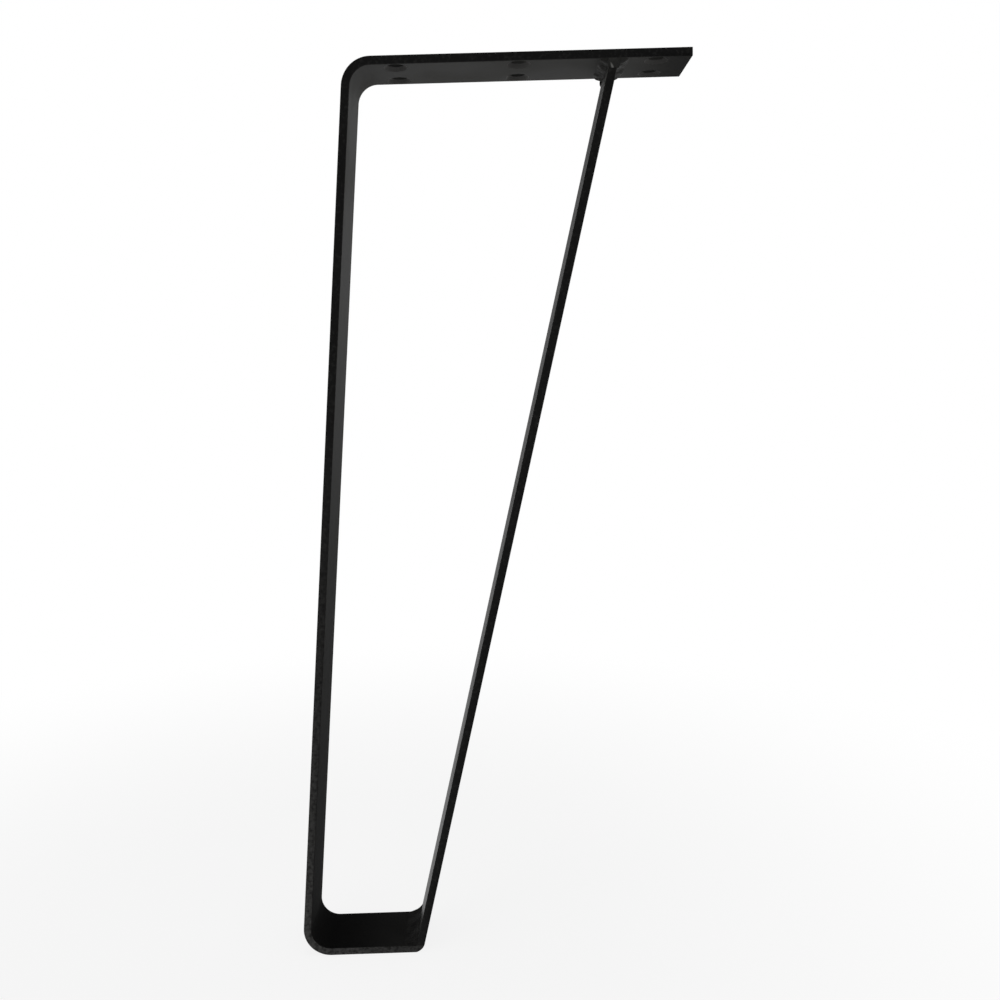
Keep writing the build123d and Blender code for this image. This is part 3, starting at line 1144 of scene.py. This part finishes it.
def floor_material(look):
    """White floor. Near the leg it keeps some of its own shade, so that the shadow shows."""
    material = bpy.data.materials.new("white_floor")
    material.use_nodes = True
    tree = material.node_tree
    tree.nodes.remove(tree.nodes["Principled BSDF"])
    matt = wire(tree, "ShaderNodeBsdfDiffuse", {"Color": (*look.floor, 1)})
    white = wire(tree, "ShaderNodeEmission", {"Color": (1, 1, 1, 1), "Strength": 1.0})
    rays = wire(tree, "ShaderNodeLightPath").outputs
    seen = maths(tree, "MAXIMUM", rays["Is Camera Ray"], rays["Is Glossy Ray"])
    seen = maths(tree, "MAXIMUM", seen, rays["Is Transmission Ray"])
    place = wire(tree, "ShaderNodeTexCoord").outputs["Object"]
    distance = wire(tree, "ShaderNodeVectorMath", {0: place}, operation="LENGTH").outputs["Value"]
    share_white = fade(tree, distance, SHADE_WITHIN, WHITE_BEYOND, WHITE_NEAR_LEG, 1.0)
    factor = maths(tree, "MULTIPLY", seen, share_white)
    inputs = {0: factor, 1: matt.outputs["BSDF"], 2: white.outputs["Emission"]}
    shown = wire(tree, "ShaderNodeMixShader", inputs)
    tree.links.new(shown.outputs["Shader"], tree.nodes["Material Output"].inputs["Surface"])
    return material


def make_floor(look):
    """A wide round floor under the foot."""
    bm = bmesh.new()
    bmesh.ops.create_circle(bm, cap_ends=True, segments=FLOOR_STEPS, radius=FLOOR_RADIUS)
    mesh = mesh_from("floor", bm)
    mesh.materials.append(floor_material(look))
    floor = new_object("floor", mesh)
    floor.location = (BENT_LOW.x, 0, FLOOR_Z - MILLIMETRE / 10)


def make_surroundings(look):
    """A white band round the horizon under a dim ceiling."""
    world = bpy.data.worlds.new("studio")
    world.use_nodes = True
    tree = world.node_tree
    way = wire(tree, "ShaderNodeTexCoord").outputs["Generated"]
    axes = wire(tree, "ShaderNodeSeparateXYZ", {"Vector": way}).outputs
    level = fade(tree, axes["Z"], WHITE_UP_TO, DIM_FROM, 1.0, look.ceiling)
    tree.links.new(level, tree.nodes["Background"].inputs["Strength"])
    tree.nodes["Background"].inputs["Color"].default_value = (1, 1, 1, 1)
    bpy.context.scene.world = world


def make_lamp(look):
    """One soft lamp overhead."""
    light = bpy.data.lights.new("overhead", "AREA")
    light.shape = "SQUARE"
    light.size = LAMP_SIZE
    light.energy = look.lamp_power
    lamp = new_object("overhead", light)
    lamp.location = LAMP_PLACE


def make_camera(look):
    """The photograph's viewpoint."""
    data = bpy.data.cameras.new("view")
    data.sensor_width = 36
    data.lens = look.lens
    camera = new_object("view", data)
    turn = Matrix.Rotation(look.camera_yaw, 4, "Z")
    turn = turn @ Matrix.Rotation(pi / 2 + look.camera_pitch, 4, "X")
    turn = turn @ Matrix.Rotation(look.camera_roll, 4, "Z")
    camera.matrix_world = Matrix.Translation(look.camera_place) @ turn
    bpy.context.scene.camera = camera


class LEG_OT_stage(bpy.types.Operator):
    """Set up the floor, the surroundings, the lamp and the camera"""

    bl_idname = "table_leg.stage"
    bl_label = "Stage"

    def execute(self, context):
        look = context.scene.stage_look
        context.scene.view_settings.view_transform = "Standard"
        make_floor(look)
        make_surroundings(look)
        make_lamp(look)
        make_camera(look)
        return {"FINISHED"}


class LEG_PT_panel(bpy.types.Panel):
    """Lists the pieces to make and the sizes and colours to change"""

    bl_idname = "LEG_PT_panel"
    bl_label = "Table Leg"
    bl_space_type = "VIEW_3D"
    bl_region_type = "UI"
    bl_category = "Table Leg"

    def draw(self, context):
        for operator in OPERATORS:
            self.layout.operator(operator.bl_idname)
        for name, group in PROPERTY_GROUPS.items():
            box = self.layout.box()
            box.label(text=group.__doc__)
            for key in group.__annotations__:
                box.prop(getattr(context.scene, name), key)


PROPERTY_GROUPS = {
    "leg_sizes": LegSizes,
    "weld_sizes": WeldSizes,
    "coat_look": CoatLook,
    "stage_look": StageLook,
}
OPERATORS = (LEG_OT_bent_bar, LEG_OT_brace_bar, LEG_OT_weld_beads, LEG_OT_stage)
CLASSES = (*PROPERTY_GROUPS.values(), *OPERATORS, LEG_PT_panel)


def register():
    for made in CLASSES:
        bpy.utils.register_class(made)
    for name, group in PROPERTY_GROUPS.items():
        setattr(bpy.types.Scene, name, PointerProperty(type=group))


def unregister():
    for name in PROPERTY_GROUPS:
        delattr(bpy.types.Scene, name)
    for made in reversed(CLASSES):
        bpy.utils.unregister_class(made)


def main():
    register()
    bpy.ops.table_leg.bent_bar()
    bpy.ops.table_leg.brace_bar()
    bpy.ops.table_leg.weld_beads()
    bpy.ops.table_leg.stage()


if __name__ == "__main__":
    main()
